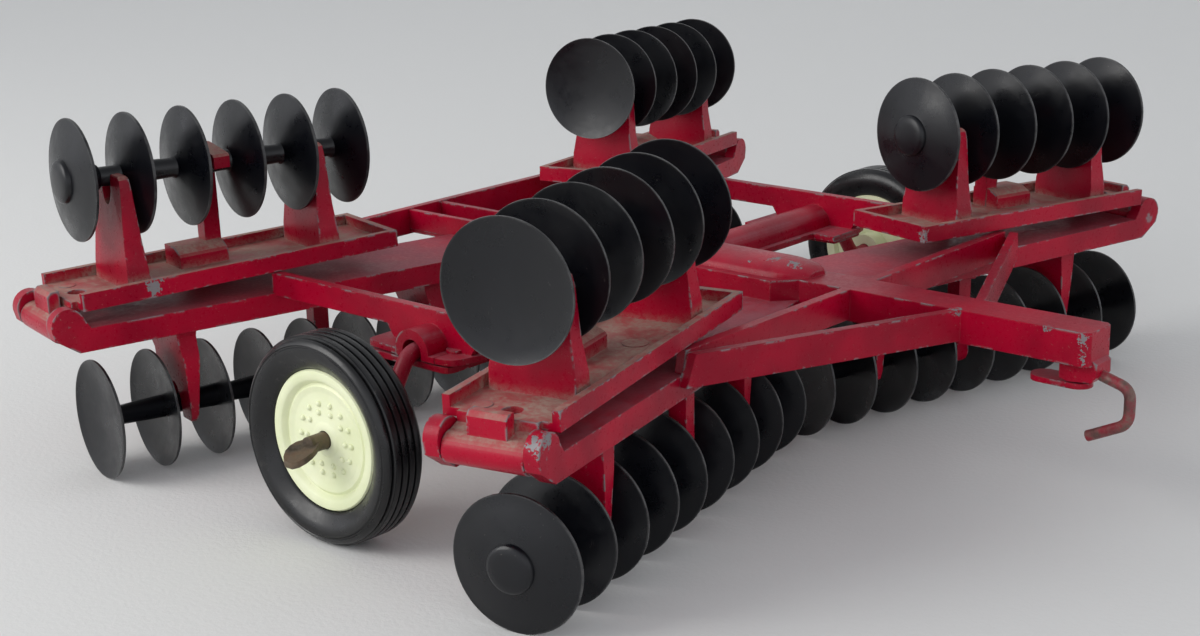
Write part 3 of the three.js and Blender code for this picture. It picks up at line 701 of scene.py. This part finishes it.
def wingMesh(row, hand):
    s = wingSize
    h, w = s["half"], s["wall"]
    floor = s["low"] + w
    hinge = row["hinge"]
    up = row["wingShaft"] - floor
    parts = [box(s["inner"], s["outer"], -h, h, s["low"], floor, 0.25),
             box(s["inner"], s["inner"] + w, -h, h, s["low"], s["high"], 0.3)]
    for edge in (-1, 1):
        y0, y1 = sorted((edge * (h - w), edge * h))
        parts.append(box(s["inner"], s["outer"], y0, y1, s["low"], s["high"], 0.3))
    parts.append(sideSlab(circle(0, 0, s["barrel"], 28), -s["barrelHalf"], s["barrelHalf"], 0.4))
    parts.append(sideSlab(circle(0, 0, s["pin"], 20), -11.9, 11.9, 0.2))
    neck = [(-5.4, 4.4), (-3.2, 1), (0, 0), (1.2, 3.1), (-1, 3.5), (-2.9, 4.1), (-3.1, 6.2), (-5.4, 6.2)]
    parts.append(sideSlab(neck, -s["barrelHalf"], s["barrelHalf"], 0.3))
    parts.append(sideSlab([(-2, 0), (1, 0), (1, 7.2), (0, 8.2), (-2, 8.2)], -4.5, 4.5, 0.35))
    parts.append(hanger(row["wingHanger"] - hinge, floor, 1, up, 0, up + 1.8, wingOuterFoot))
    parts.append(hanger(s["innerHanger"] - hinge, floor, 1, up, 0, up + 1.8, wingFoot))
    parts.append(shaftHook(s["hook"] - hinge, floor, 1, s["hookShaft"] - floor, 0, hand))
    parts.append(wingHookFoot(s["hook"] - hinge, floor, hand))
    for along, across, radius in ((79.5 - hinge, 4.2, 2.9), (s["outer"] - 3.6, -6.2, 2.1)):
        parts.append(planSlab(circle(along, -hand * across, radius, 32), floor - 0.3, floor + 0.14, 0.06))
    cuts = [planSlab(circle(s["outer"] - s["holeIn"], -hand * s["holeAhead"], 2.15, 28), 0, 12, 0)]
    return united(parts, cuts)


def wingPlace(row, hand):
    hinge = Matrix.Translation((row["hinge"], 0, beamSize["hinge"]))
    return gangPlace(row, hand) @ hinge @ Matrix.Rotation(tilt, 4, "Y")


# where the red paint has gone: places as (x, y, z, reach) in millimetres

def wingSpot(place, hand, along, across, up, reach):
    return (*(wingPlace(rowSizes[place], hand) @ Vector((along, across, up))), reach)


def wornCorners():
    # the rows' outer ends, the tongue, the ridge and one wing's inner corner knock against things
    f, w = frameSize, wingSize
    places = [(f["tongueTip"] - 2, 0, 42, 9), (f["nose"] - 3, 0, f["top"] + 0.6, 12),
              (f["nose"] - 24, 0, f["top"] + 2.6, 9),
              wingSpot("front", -1, w["inner"] + 0.9, w["half"], w["high"] - 1.2, 7)]
    for row in rowSizes.values():
        for hand in (-1, 1):
            x, y, z = gangPlace(row, hand) @ Vector((row["hinge"] + 0.5, 0, 43))
            places.append((x + 1, y, z, 15))
    return places


def bareChips():
    f, w, front = frameSize, wingSize, rowSizes["front"]
    tip, half, top, low = f["tongueTip"], f["tongueHalf"], f["top"], f["low"]
    tongue = [(tip - 1.4, -half - 0.3, top - 1, 1.9), (tip - 1.4, -half - 0.5, low + 3, 1.3),
              (tip - 1.4, -half - 0.5, low + 0.2, 1.5), (tip - 0.2, half + 0.1, top - 3, 1.5),
              (tip - 0.2, half + 0.1, low + 1.2, 1.2), (tip - 10, -half + 0.3, top - 0.1, 1.2),
              (f["braceRoot"] - 0.1, -half + 0.1, top - 0.2, 1.4)]
    ridge = [(f["nose"] - 3, -1.5, top + 2, 2.5), (f["nose"] - 9, -2, top + 2.9, 1.8),
             (f["nose"] - 14, -half, top + 2.2, 1.3)]
    flanges = [wingSpot("rear", -1, w["outer"] - 18, w["half"], w["high"] - 1.3, 2.7),
               wingSpot("rear", -1, w["outer"] - 19, w["half"] + 2.3, w["high"] - 0.5, 1.7),
               wingSpot("front", 1, w["inner"] - 1, -w["half"], w["high"] - 2.6, 2.3),
               wingSpot("front", 1, w["inner"] - 0.8, -w["half"] + 0.3, w["low"] - 0.5, 2),
               wingSpot("front", -1, w["outer"] + 2, w["half"], w["high"] + 0.2, 1.3)]
    # round the near ear of the front right beam
    hub = gangPlace(front, -1) @ Vector((front["hinge"] + 2.2, 12, beamSize["hinge"] - 0.4))
    ear = [(hub.x, y, z, 2.2) for y, z in arc(hub.y, hub.z, 5, 68, 187, 4)]
    return tongue + ridge + flanges + ear


redPaint = makePaint("redPaint", paintLook, paintLook["dustAmount"], "dust")
wingPaint = makePaint("wingPaint", paintLook, 0.92, "pale", corners=True)
discPlastic = makeDiscPlastic(plasticLook)
tyreRubber = makeTyreRubber(dict(black=linear(11, 11, 13), grey=linear(20, 20, 22), dust=linear(96, 92, 88)))
# its grime colour is also the painted shade in the rim's hollows
rimPlastic = makeRimPlastic(dict(cream=linear(222, 228, 186), pale=linear(232, 236, 200),
                                 grimeAndShade=linear(172, 166, 120)))
axleSteel = makeRustySteel("axleSteel", dict(steel=linear(104, 94, 78), rust=linear(92, 72, 52),
                                             dark=linear(62, 54, 44)))
hookSteel = makeRustySteel("hookSteel", dict(steel=linear(124, 104, 96), rust=linear(134, 10, 34),
                                             dark=linear(84, 50, 50)))
print("materials made")

castFrame()
print("frame casting made")


# small frame pieces

tabSize = dict(start=119, end=127, half=3.4, low=32.4, high=33.7)
retainerSize = dict(low=34.2, high=35.7)


def tabMesh():
    t = tabSize
    plan = arc(t["end"], 0, t["half"], -90, 90, 14) + arc(t["start"], 0, t["half"], 90, 270, 14)
    return planSlab(plan, t["low"], t["high"], 0.3)


finished("hitchTab", tabMesh(), redPaint, "frame", ["hitch_tab"])

wireSize = dict(hookRadius=1.3, axleRadius=2.0)
hookRun = bentPath([(131.5, 0, 36.1), (139.68, 0, 33.8), (139.68, 0, 25.7), (130.0, 0, 21.0)], 2.6)
finished("drawbarHook", roundTube(hookRun, wireSize["hookRadius"]), hookSteel, "frame",
         ["drawbar_hook"])

for word, hand in (("right", -1), ("left", 1)):
    plan = [(-13.3, 71), (-13.3, 83.4), (-12.7, 84.8), (-11.4, 85.4), (11.2, 85.4), (12.6, 84.8),
            (13.2, 83.4), (13.2, 71)]
    plate = planSlab([(x, hand * y) for x, y in plan], retainerSize["low"], retainerSize["high"], 0.3)
    finished(f"axleRetainer_{word}", plate, redPaint, "frame", [f"axle_retainer_{word}"])

for place, row in rowSizes.items():
    for word, hand in (("right", -1), ("left", 1)):
        mesh = moved(wingMesh(row, hand), wingPlace(row, hand))
        finished(f"{place}Wing_{word}", mesh, wingPaint, f"{place}_wing_{word}_body",
                 [f"{place}_wing_{word}"])
print("wings made")


# disc gangs: one moulding, repeated along its shaft

gangSize = dict(radius=15, step=14.5, dish=2.5, edge=0.32, middle=1.2, shaft=2.4, collar=3.2, boss=5.35,
                mainDiscs=9, wingDiscs=6)


def discMesh(closed=False):
    # dished toward +y; a closed one has no hole for the shaft on its hollow side
    s = gangSize
    outside, inside = [], []
    for i in range(10):
        r = s["shaft"] - 0.4 + (s["radius"] - s["shaft"] + 0.4) * i / 9
        t = r / s["radius"]
        thick = s["middle"] * (1 - t) + s["edge"] * t
        deep = s["dish"] * (1 - t ** 1.8)
        bulge = 0.45 * max(0, 1 - (t - 0.16) / 0.22) ** 2 if t > 0.16 else 0.45
        outside.append((r, deep + thick / 2 + bulge))
        inside.append((r, deep - thick / 2))
    outside[-1] = (s["radius"] - 0.08, s["edge"])
    inside[-1] = (s["radius"] - 0.08, -s["edge"])
    profile = outside + [(s["radius"], 0)] + inside[::-1]
    if closed:
        return lathed([(0, outside[0][1])] + profile + [(0, inside[0][1] + 0.02)], 72)
    return lathed(profile, 72, closed=True)


def rowPoints(tree, into):
    # a straight row of points
    line = tree.nodes.new("GeometryNodeMeshLine")
    tree.links.new(into.outputs["count"], line.inputs["Count"])
    tree.links.new(into.outputs["step"], line.inputs["Offset"])
    return line.outputs["Mesh"]


def ringPoints(tree, into):
    # a ring of points round the y axis
    loop = tree.nodes.new("GeometryNodeMeshCircle")
    turn = tree.nodes.new("GeometryNodeTransform")
    turn.inputs["Rotation"].default_value = (math.radians(90), 0, 0)
    tree.links.new(into.outputs["count"], loop.inputs["Vertices"])
    tree.links.new(into.outputs["radius"], loop.inputs["Radius"])
    tree.links.new(loop.outputs["Mesh"], turn.inputs["Geometry"])
    tree.links.new(into.outputs["offset"], turn.inputs["Translation"])
    return turn.outputs["Geometry"]


def copyTree(name, fields, makePoints):
    # a tree that sets copies of its input mesh on points, and the identifiers of its inputs
    tree = bpy.data.node_groups.new(name, "GeometryNodeTree")
    face = tree.interface
    face.new_socket("Geometry", in_out="INPUT", socket_type="NodeSocketGeometry")
    inputs = {}
    for word, kind in fields.items():
        inputs[word] = face.new_socket(word, in_out="INPUT", socket_type=f"NodeSocket{kind}").identifier
    face.new_socket("Geometry", in_out="OUTPUT", socket_type="NodeSocketGeometry")
    into, out = tree.nodes.new("NodeGroupInput"), tree.nodes.new("NodeGroupOutput")
    copies = tree.nodes.new("GeometryNodeInstanceOnPoints")
    real = tree.nodes.new("GeometryNodeRealizeInstances")
    coat = tree.nodes.new("GeometryNodeSetMaterial")
    link = tree.links.new
    link(makePoints(tree, into), copies.inputs["Points"])
    link(into.outputs["Geometry"], copies.inputs["Instance"])
    link(copies.outputs["Instances"], real.inputs["Geometry"])
    link(real.outputs["Geometry"], coat.inputs["Geometry"])
    link(into.outputs["material"], coat.inputs["Material"])
    link(coat.outputs["Geometry"], out.inputs["Geometry"])
    return tree, inputs


discRow = copyTree("discRow", dict(count="Int", step="Vector", material="Material"), rowPoints)
studRing = copyTree("studRing", dict(count="Int", radius="Float", offset="Vector", material="Material"),
                    ringPoints)


def grown(mesh, spread, **values):
    tree, inputs = spread
    obj = bpy.data.objects.new("one", mesh)
    bpy.context.scene.collection.objects.link(obj)
    modifier = obj.modifiers.new("copies", "NODES")
    modifier.node_group = tree
    for key, value in values.items():
        modifier[inputs[key]] = value
    made = evaluated(obj, "copies")
    bpy.data.objects.remove(obj)
    return made


def gangMesh(count):
    # drawn about y with the boss end at y = 0 and the discs going to -y
    s = gangSize
    step, r = s["step"], s["shaft"]
    discs = grown(discMesh(), discRow, count=count - 1, step=(0, -step, 0), material=discPlastic)
    last = -(count - 1) * step
    endDisc = moved(discMesh(closed=True), Matrix.Translation((0, last, 0)))
    shaft = [(0, last + s["dish"]), (r - 0.1, last + s["dish"])]
    for i in range(count - 1, 0, -1):
        at = -i * step
        shaft += [(r + 0.5, at + 2.2), (r + 0.45, at + 3.5), (r, at + 4.1)]
        if i == 1:
            c = s["collar"]
            shaft += [(r, -6.1), (c - 0.15, -5.8), (c, -5.6), (c, -1.2), (r, -0.9)]
    b = s["boss"]
    shaft += [(r, 1.8), (b, 2.0), (b, 3.2), (b - 0.25, 3.65), (b - 0.9, 3.98), (b - 2.2, 4.2), (1.6, 4.3),
              (0, 4.35)]
    return merged([discs, endDisc, lathed(shaft, 40)], "gang")


def markRims(obj, centre, axis, radius):
    # a value of one on the thin outer edge of each disc
    mesh = obj.data
    rim = mesh.attributes.new("discRim", "FLOAT", "POINT")
    spot, along = Vector(centre), Vector(axis).normalized()
    values = []
    for v in mesh.vertices:
        out = v.co - spot
        reach = (out - along * out.dot(along)).length
        values.append(1.0 if reach > radius * 0.985 else 0.0)
    rim.data.foreach_set("value", values)


aboutX = Matrix.Rotation(math.radians(-90), 4, "Z")  # y turned onto x
longGang, shortGang = gangMesh(gangSize["mainDiscs"]), gangMesh(gangSize["wingDiscs"])
for place, row in rowSizes.items():
    for word, hand in (("right", -1), ("left", 1)):
        side = hand * -row["sweep"]
        mainShaft = Matrix.Translation((0, side * row["mainShift"], gangSize["radius"]))
        wingShaft = Matrix.Translation((0, 0, row["wingShaft"] + row["lift"][word]))
        spots = {
            "main": (longGang, gangSize["mainDiscs"], row["mainWay"], row["mainDisc"], 0,
                     gangPlace(row, hand) @ mainShaft),
            "wing": (shortGang, gangSize["wingDiscs"], row["wingWay"], row["wingDisc"] - row["hinge"],
                     math.radians(row["lean"][word]), wingPlace(row, hand) @ wingShaft),
        }
        for kind, (mesh, count, way, outer, lean, shaftPlace) in spots.items():
            local = Matrix.Translation((outer, 0, 0)) @ Matrix.Rotation(lean, 4, "Y")
            if way < 0:
                length = (count - 1) * gangSize["step"]
                local = local @ Matrix.Translation((-length, 0, 0)) @ Matrix.Rotation(math.pi, 4, "Z")
            local = local @ aboutX
            node = f"{place}_{kind}_gang_{word}"
            full = shaftPlace @ local
            obj = finished(node.replace("_gang", "Gang"), moved(mesh, full), discPlastic, f"{node}_body",
                           [node], smooth=40)
            metres = Matrix.Translation((-middleX * mm, 0, 0)) @ Matrix.Scale(mm, 4) @ full
            axis = metres.to_3x3() @ Vector((0, 1, 0))
            markRims(obj, metres.to_translation(), axis, gangSize["radius"] * mm)
print("disc gangs made")


# wheels and cranked axle

wheelSize = dict(x=2.7, centre=110.8, height=24.3, tyre=24.3, inner=5, outer=6.75, rim=16.4, ribStep=2)


def tyreMesh():
    s = wheelSize
    r, o = s["tyre"], s["outer"]
    outer = [(s["rim"], 3.6), (s["rim"] + 0.4, 4.3), (17.3, 4.75), (18.0, 5.2), (19.2, o - 0.65),
             (20.4, o - 0.2), (21.5, o), (21.8, o - 0.05), (22.0, o - 0.3), (22.3, o - 0.35),
             (22.5, o - 0.15), (22.9, o - 0.35), (23.3, o - 0.7), (23.6, o - 1.1), (23.65, o - 1.35),
             (23.25, o - 1.5), (23.25, o - 1.9), (23.85, o - 2.0), (24.1, o - 2.3)]
    ribs = []
    at = o - 2.3
    while at > -s["inner"] + 2.4:
        ribs += [(r - 0.05, at), (r, at - 0.15), (r, at - 1.25), (r - 0.05, at - 1.4), (r - 0.7, at - 1.5),
                 (r - 0.7, at - 1.9)]
        at -= s["ribStep"]
    inner = [(r - 0.1, -s["inner"] + 2.3), (23.9, -s["inner"] + 1.6), (23.0, -s["inner"] + 0.6),
             (21.6, -s["inner"] + 0.1), (20.0, -s["inner"]), (18.4, -4.75), (17.2, -4.5),
             (s["rim"] + 0.4, -4.2), (s["rim"], -3.8)]
    return lathed(outer + ribs + inner, 112, closed=True)


def rimMesh():
    rim = wheelSize["rim"]
    outer = [(2.2, 3.6), (3.4, 3.6), (3.9, 3.3), (4.3, 3.1), (10.6, 2.95), (11.2, 3.0), (11.8, 3.25),
             (12.3, 3.3), (12.7, 3.0), (13.0, 2.9), (13.3, 3.2), (13.8, 4.0), (14.2, 4.25), (15.6, 4.4),
             (16.1, 4.3), (rim, 3.9), (rim, -4), (13.8, -4), (13.1, -2.5), (5, -2.5), (5, -8), (2.2, -8)]
    body = lathed(outer, 96, closed=True)
    stud = lathed([(0, 0.62), (0.38, 0.52), (0.66, 0.22), (0.74, -0.2), (0, -0.2)], 14)
    rings = [grown(stud, studRing, count=count, radius=radius, offset=(0, 3.05, 0), material=rimPlastic)
             for radius, count in ((6.3, 10), (8.3, 14))]
    return merged([body] + rings, "rim")


def wheelPlace(hand):
    turn = Matrix.Identity(4) if hand > 0 else Matrix.Rotation(math.pi, 4, "Z")
    return Matrix.Translation((wheelSize["x"], hand * wheelSize["centre"], wheelSize["height"])) @ turn


def crankHalf(hand):
    s = wheelSize
    x, z = s["x"], s["height"]
    corners = [(2, 0, 38), (2, hand * 87, 38), (x, hand * 96.5, z), (x, hand * 104, z)]
    return roundTube(bentPath(corners, 3.4), wireSize["axleRadius"], 20)


def spindleParts(hand):
    # the wire's end in the wheel and the leaf that it is flattened into
    s = wheelSize
    path = [(s["x"], hand * y, s["height"]) for y in (103, 110, 117, 119.2)]
    stub = roundTube(path, wireSize["axleRadius"], 20)
    half = [(116.9, 1.6), (118.2, 2.4), (119.6, 3.3), (121.2, 3.7), (122.8, 3.5), (124.2, 2.6), (125.0, 1.2)]
    blade = planSlab([(-w, y) for y, w in half] + [(w, y) for y, w in half[::-1]], -0.75, 0.75, 0.3)
    for v in blade.vertices:
        v.co.z -= 0.12 * max(0, v.co.y - 117.8) ** 1.6
    blade = moved(blade, Matrix.Translation((s["x"], 0, s["height"])))
    if hand < 0:
        blade = moved(blade, Matrix.Scale(-1, 4, (0, 1, 0)))
    return [stub, blade]


crank = united([crankHalf(-1), crankHalf(1)])
finished("crankAxle", crank, redPaint, "crank", ["crank_axle"])
for word, hand in (("right", -1), ("left", 1)):
    finished(f"spindle_{word}", united(spindleParts(hand)), axleSteel, "crank")
    finished(f"tyreDetail_{word}", moved(tyreMesh(), wheelPlace(hand)), tyreRubber, f"wheel_{word}",
             [f"tyre_{word}"])
    finished(f"rimDetail_{word}", moved(rimMesh(), wheelPlace(hand)), rimPlastic, f"wheel_{word}",
             [f"rim_{word}"])
print("wheels and axle made")


# camera, floor and light

viewSize = dict(azimuth=41.13, elevation=15.99, roll=-1.10, distance=525.2, target=(-14.84, 0, 23.44),
                lens=57.93)
floorLook = dict(tone=linear(220, 220, 218), rough=0.9, halfWide=4, ahead=-3, bendAt=1.2, bend=0.6,
                 wallTop=3)
lightLook = dict(room=1.22, level=(0.93, 0.95, 1.0), overhead=(0.34, 0.35, 0.37), dimFrom=0.3, dimTo=0.9,
                 keySpot=(-0.45, -0.75, 0.55), keyAim=(0, 0, 0.03), keySize=0.6, keyPower=4.8,
                 keyTint=(1, 0.985, 0.96))


def makeCamera():
    v = viewSize
    a, e = math.radians(v["azimuth"]), math.radians(v["elevation"])
    away = Vector((math.sin(a) * math.cos(e), -math.cos(a) * math.cos(e), math.sin(e)))
    spot = (Vector(v["target"]) + away * v["distance"]) * mm - Vector((middleX * mm, 0, 0))
    camera = bpy.data.objects.new("camera", bpy.data.cameras.new("camera"))
    camera.data.lens = v["lens"]
    camera.data.sensor_width = 36
    camera.data.clip_start = 0.01
    facing = (-away).to_track_quat("-Z", "Y").to_matrix().to_4x4()
    camera.matrix_world = Matrix.Translation(spot) @ facing @ Matrix.Rotation(math.radians(v["roll"]), 4, "Z")
    bpy.context.scene.collection.objects.link(camera)
    bpy.context.scene.camera = camera


def makeFloor():
    # a plain floor that bends up into a wall, square to the view
    n = Nodes("floorCloth")
    n.shader.inputs["Base Color"].default_value = (*floorLook["tone"], 1)
    n.shader.inputs["Roughness"].default_value = floorLook["rough"]
    n.shader.inputs["Specular IOR Level"].default_value = 0.1
    weave = n.bump(n.noise(700, 3, 0.6), "Fac", 0.25, 0.0004)
    n.wire(weave, 0, n.shader, "Normal")
    bm = bmesh.new()
    start, bend = floorLook["bendAt"], floorLook["bend"]
    curve = arc(start, bend, bend, -90, 0, 10)
    run = [(floorLook["ahead"], 0)] + curve + [(start + bend, floorLook["wallTop"])]
    a = math.radians(viewSize["azimuth"])
    back = Vector((-math.sin(a), math.cos(a), 0))
    across = Vector((math.cos(a), math.sin(a), 0))
    wide = floorLook["halfWide"]
    rows = [[bm.verts.new(back * d + across * w + Vector((0, 0, z))) for w in (-wide, wide)] for d, z in run]
    for one, two in zip(rows, rows[1:]):
        bm.faces.new((one[0], one[1], two[1], two[0]))
    bmesh.ops.recalc_face_normals(bm, faces=bm.faces)
    mesh = meshFrom(bm, "floor")
    for face in mesh.polygons:
        face.use_smooth = True
    floor = bpy.data.objects.new("floor", mesh)
    floor.data.materials.append(n.material)
    bpy.context.scene.collection.objects.link(floor)


def makeKeyLamp():
    look = lightLook
    lamp = bpy.data.lights.new("key", "AREA")
    lamp.shape = "RECTANGLE"
    lamp.size = lamp.size_y = look["keySize"]
    lamp.energy = look["keyPower"]
    lamp.color = look["keyTint"]
    obj = bpy.data.objects.new("key", lamp)
    facing = (Vector(look["keyAim"]) - Vector(look["keySpot"])).to_track_quat("-Z", "Y").to_matrix().to_4x4()
    obj.matrix_world = Matrix.Translation(look["keySpot"]) @ facing
    bpy.context.scene.collection.objects.link(obj)


def makeLight():
    # an even room, dimmer overhead
    world = bpy.data.worlds.new("room")
    bpy.context.scene.world = world
    world.use_nodes = True
    tree = world.node_tree
    back = tree.nodes["Background"]
    back.inputs["Strength"].default_value = lightLook["room"]
    facing = tree.nodes.new("ShaderNodeTexCoord")
    part = tree.nodes.new("ShaderNodeSeparateXYZ")
    height = tree.nodes.new("ShaderNodeMapRange")
    height.inputs["From Min"].default_value = lightLook["dimFrom"]
    height.inputs["From Max"].default_value = lightLook["dimTo"]
    blend = tree.nodes.new("ShaderNodeMix")
    blend.data_type = "RGBA"
    blend.inputs[6].default_value = (*lightLook["level"], 1)
    blend.inputs[7].default_value = (*lightLook["overhead"], 1)
    tree.links.new(facing.outputs["Generated"], part.inputs[0])
    tree.links.new(part.outputs["Z"], height.inputs["Value"])
    tree.links.new(height.outputs[0], blend.inputs[0])
    tree.links.new(blend.outputs[2], back.inputs["Color"])


makeCamera()
makeFloor()
makeLight()
makeKeyLamp()
bpy.context.scene.view_settings.view_transform = "Standard"
